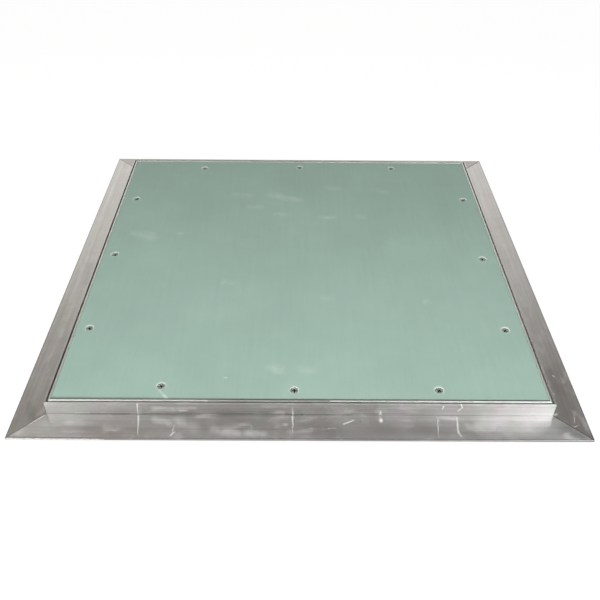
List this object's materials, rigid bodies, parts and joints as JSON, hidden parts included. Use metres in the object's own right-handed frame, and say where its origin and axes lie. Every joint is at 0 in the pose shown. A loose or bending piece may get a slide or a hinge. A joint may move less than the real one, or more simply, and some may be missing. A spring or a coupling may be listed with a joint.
{
  "type": "access hatch",
  "caption": "Plasterboard access hatch: a mitred aluminium frame with a flange, and a hinged push-to-open door lined with green board.",
  "frame": {"origin": "centre of the hatch in plan, in the plane of the back of its frame", "axes": "+Z out of the wall through the door's face, +Y towards the pivots, so the -Y edge opens; +X completes a right-handed set"},
  "size_m": [0.45, 0.45, 0.0365],
  "materials": {
    "frame_aluminium": "satin",
    "door_aluminium": "satin",
    "board": "matte",
    "black_screw": "satin",
    "zinc_plate": "satin",
    "zinc_screw": "satin",
    "pin_steel": "satin",
    "spring_steel": "gloss",
    "magnet_nickel": "gloss",
    "latch_white": "matte",
    "latch_black": "satin"
  },
  "bodies": {
    "frame": {"frame_rail_front": "frame_aluminium", "frame_rail_right": "frame_aluminium", "frame_rail_back": "frame_aluminium", "frame_rail_left": "frame_aluminium", "frame_key_front_left": "zinc_plate", "frame_key_front_right": "zinc_plate", "frame_key_back_right": "zinc_plate", "frame_key_back_left": "zinc_plate", "pivot_pin_left": "pin_steel", "pivot_pin_right": "pin_steel", "latch_housing_left": "latch_white", "latch_housing_right": "latch_white", "latch_spring_left": "spring_steel", "latch_spring_right": "spring_steel", "latch_screws": "zinc_screw"},
    "door": {"door_rail_front": "door_aluminium", "door_rail_right": "door_aluminium", "door_rail_back": "door_aluminium", "door_rail_left": "door_aluminium", "door_key_front_left": "zinc_plate", "door_key_front_right": "zinc_plate", "door_key_back_right": "zinc_plate", "door_key_back_left": "zinc_plate", "door_board": "board", "board_screws": "black_screw", "strike_plate_left": "zinc_plate", "strike_plate_right": "zinc_plate"},
    "plunger_left": {"latch_plunger_left": "latch_black", "latch_magnet_left": "magnet_nickel"},
    "plunger_right": {"latch_plunger_right": "latch_black", "latch_magnet_right": "magnet_nickel"}
  },
  "joints": [
    {"name": "door_hinge", "type": "hinge", "parent": "frame", "child": "door", "pos_m": [0, 0.1814, 0.0305], "axis": [-1, 0, 0], "range_deg": [0, 140]},
    {"name": "latch_left", "type": "slide", "parent": "frame", "child": "plunger_left", "axis": [0, 0, 1], "range_m": [0, 0.004], "deforming": ["latch_spring_left"]},
    {"name": "latch_right", "type": "slide", "parent": "frame", "child": "plunger_right", "axis": [0, 0, 1], "range_m": [0, 0.004], "deforming": ["latch_spring_right"]}
  ],
  "couplings": [
    {"joint": "latch_left", "follows": "door_hinge", "m_per_rad": 0.001637},
    {"joint": "latch_right", "follows": "door_hinge", "m_per_rad": 0.001637}
  ]
}
